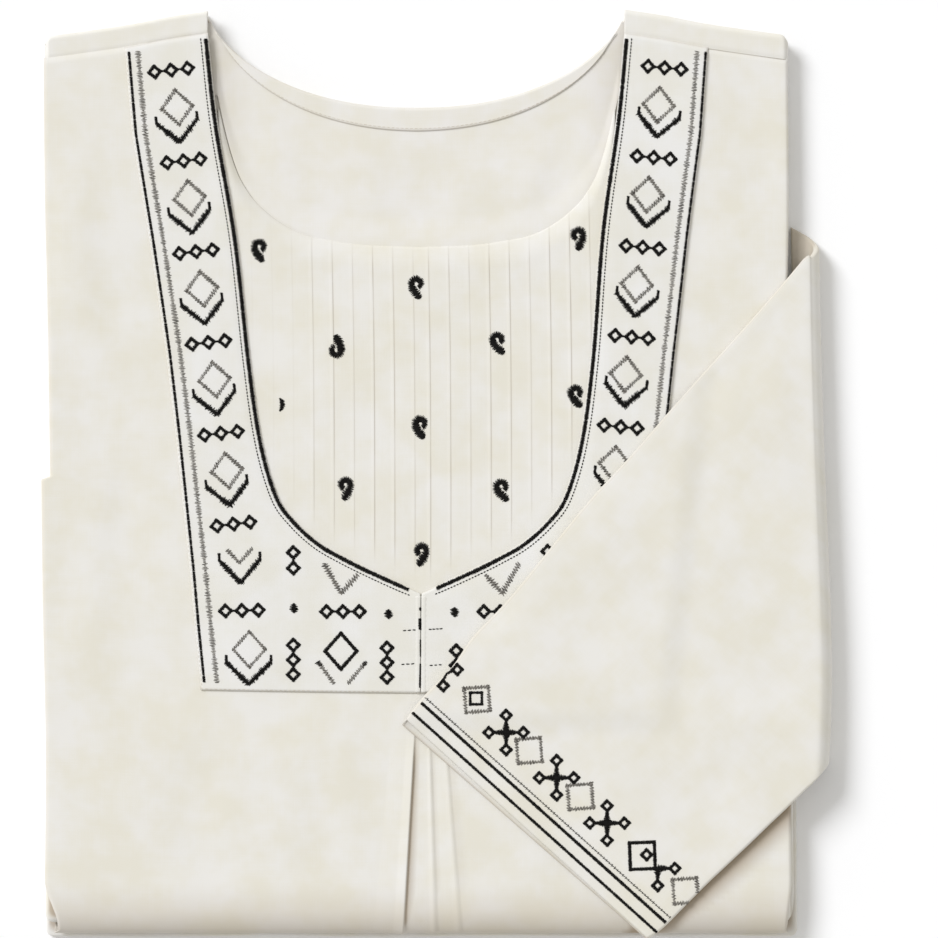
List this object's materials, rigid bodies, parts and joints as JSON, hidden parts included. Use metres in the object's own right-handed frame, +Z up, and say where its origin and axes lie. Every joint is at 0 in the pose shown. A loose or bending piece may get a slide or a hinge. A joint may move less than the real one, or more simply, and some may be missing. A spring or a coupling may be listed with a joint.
{
  "type": "folded kurta tunic",
  "caption": "Embroidered cotton kurta tunic folded flat, face up, with a pintucked bib, a banded yoke and its sleeve folded across the front.",
  "frame": {"origin": "centre of the folded tunic's footprint, on the surface it lies on", "axes": "+Y from the bottom fold towards the neck, +Z up from the surface, +X towards the folded sleeve"},
  "size_m": [0.3957, 0.4634, 0.0201],
  "materials": {
    "ivory_cotton": "warm ivory plain-weave cotton, matt",
    "inner_cotton": "the same cotton's inner side, matt",
    "yoke_cotton": "slightly whiter, smoother cotton",
    "black_thread": "black embroidery thread, soft sheen",
    "grey_thread": "fine grey embroidery thread",
    "ivory_thread": "ivory sewing thread"
  },
  "bodies": {
    "root": {"folded_core": "inner_cotton", "back": "inner_cotton", "back_neck_facing": "inner_cotton", "back_shoulder_left": "ivory_cotton", "back_shoulder_right": "ivory_cotton", "front": "ivory_cotton", "bib": "ivory_cotton", "yoke_left": "yoke_cotton", "yoke_right": "yoke_cotton", "slit_binding_left": "yoke_cotton", "slit_binding_right": "yoke_cotton", "sleeve": "ivory_cotton"}
  },
  "joints": []
}
